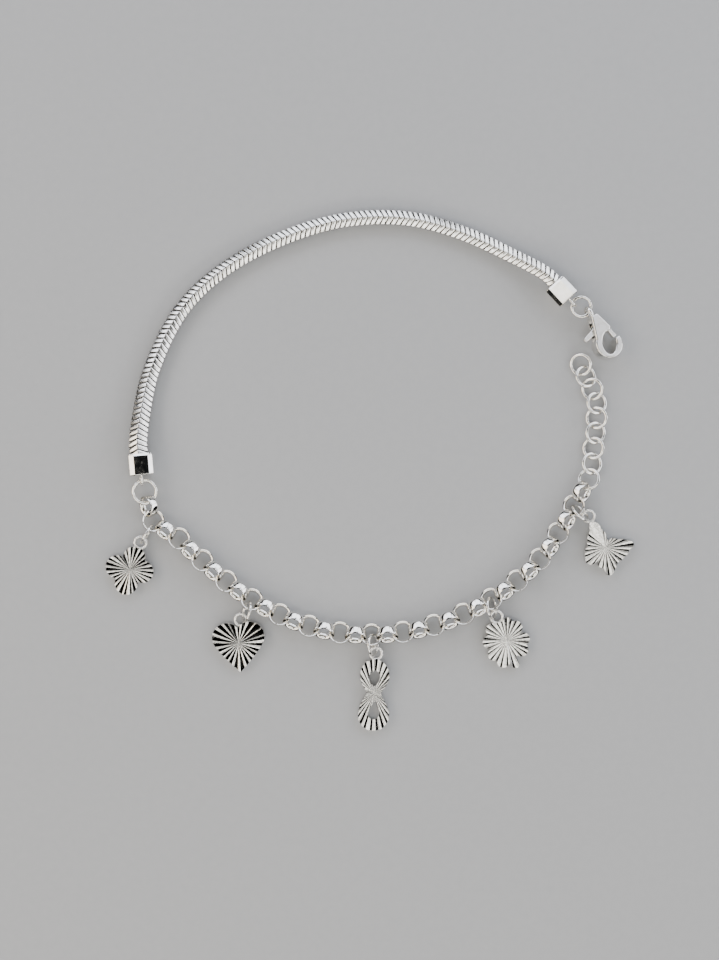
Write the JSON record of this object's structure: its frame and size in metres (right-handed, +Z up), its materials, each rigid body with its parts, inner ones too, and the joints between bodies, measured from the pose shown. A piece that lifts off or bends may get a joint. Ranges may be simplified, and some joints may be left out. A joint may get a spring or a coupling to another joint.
{
  "type": "charm bracelet",
  "caption": "Silver charm bracelet of a snake chain and a link chain with ray-cut charms, box end caps, jump rings, a lever clasp and a ring extension.",
  "frame": {"origin": "on the surface that the bracelet lies on, under the middle of its box", "axes": "+Z up from that surface; +X from the snake chain's left end cap towards the clasp side; +Y towards the top of the snake chain's arc"},
  "size_m": [0.0735, 0.0725, 0.0037],
  "materials": {
    "bright_silver": "polished sterling silver",
    "snake_silver": "polished silver scales",
    "cut_silver": "ray-cut silver, bright grooves and satin ridges"
  },
  "bodies": {
    "bracelet": {"snake_chain": "snake_silver", "end_cap_left": "bright_silver", "end_cap_right": "bright_silver", "cap_ring_left": "bright_silver", "cap_ring_right": "bright_silver", "rolo_chain": "bright_silver", "extension_ring_1": "bright_silver", "extension_ring_2": "bright_silver", "extension_ring_3": "bright_silver", "extension_ring_4": "bright_silver", "extension_ring_5": "bright_silver", "extension_ring_6": "bright_silver", "extension_ring_7": "bright_silver", "extension_ring_8": "bright_silver", "extension_ring_9": "bright_silver", "charm_quatrefoil": "cut_silver", "charm_ring_quatrefoil": "bright_silver", "charm_heart": "cut_silver", "charm_ring_heart": "bright_silver", "charm_infinity": "cut_silver", "charm_ring_infinity": "bright_silver", "charm_clover": "cut_silver", "charm_ring_clover": "bright_silver", "charm_butterfly": "cut_silver", "charm_ring_butterfly": "bright_silver", "clasp_body": "bright_silver"},
    "lever": {"clasp_lever": "bright_silver"}
  },
  "joints": [
    {"name": "clasp_lever_hinge", "type": "hinge", "parent": "bracelet", "child": "lever", "pos_m": [0.03172, 0.02026, 0.00142], "axis": [0.2741, 0.1427, 0.9511], "range_deg": [-22, 0], "stiffness_Nm_per_rad": 0.004, "springref_deg": 8.59}
  ]
}
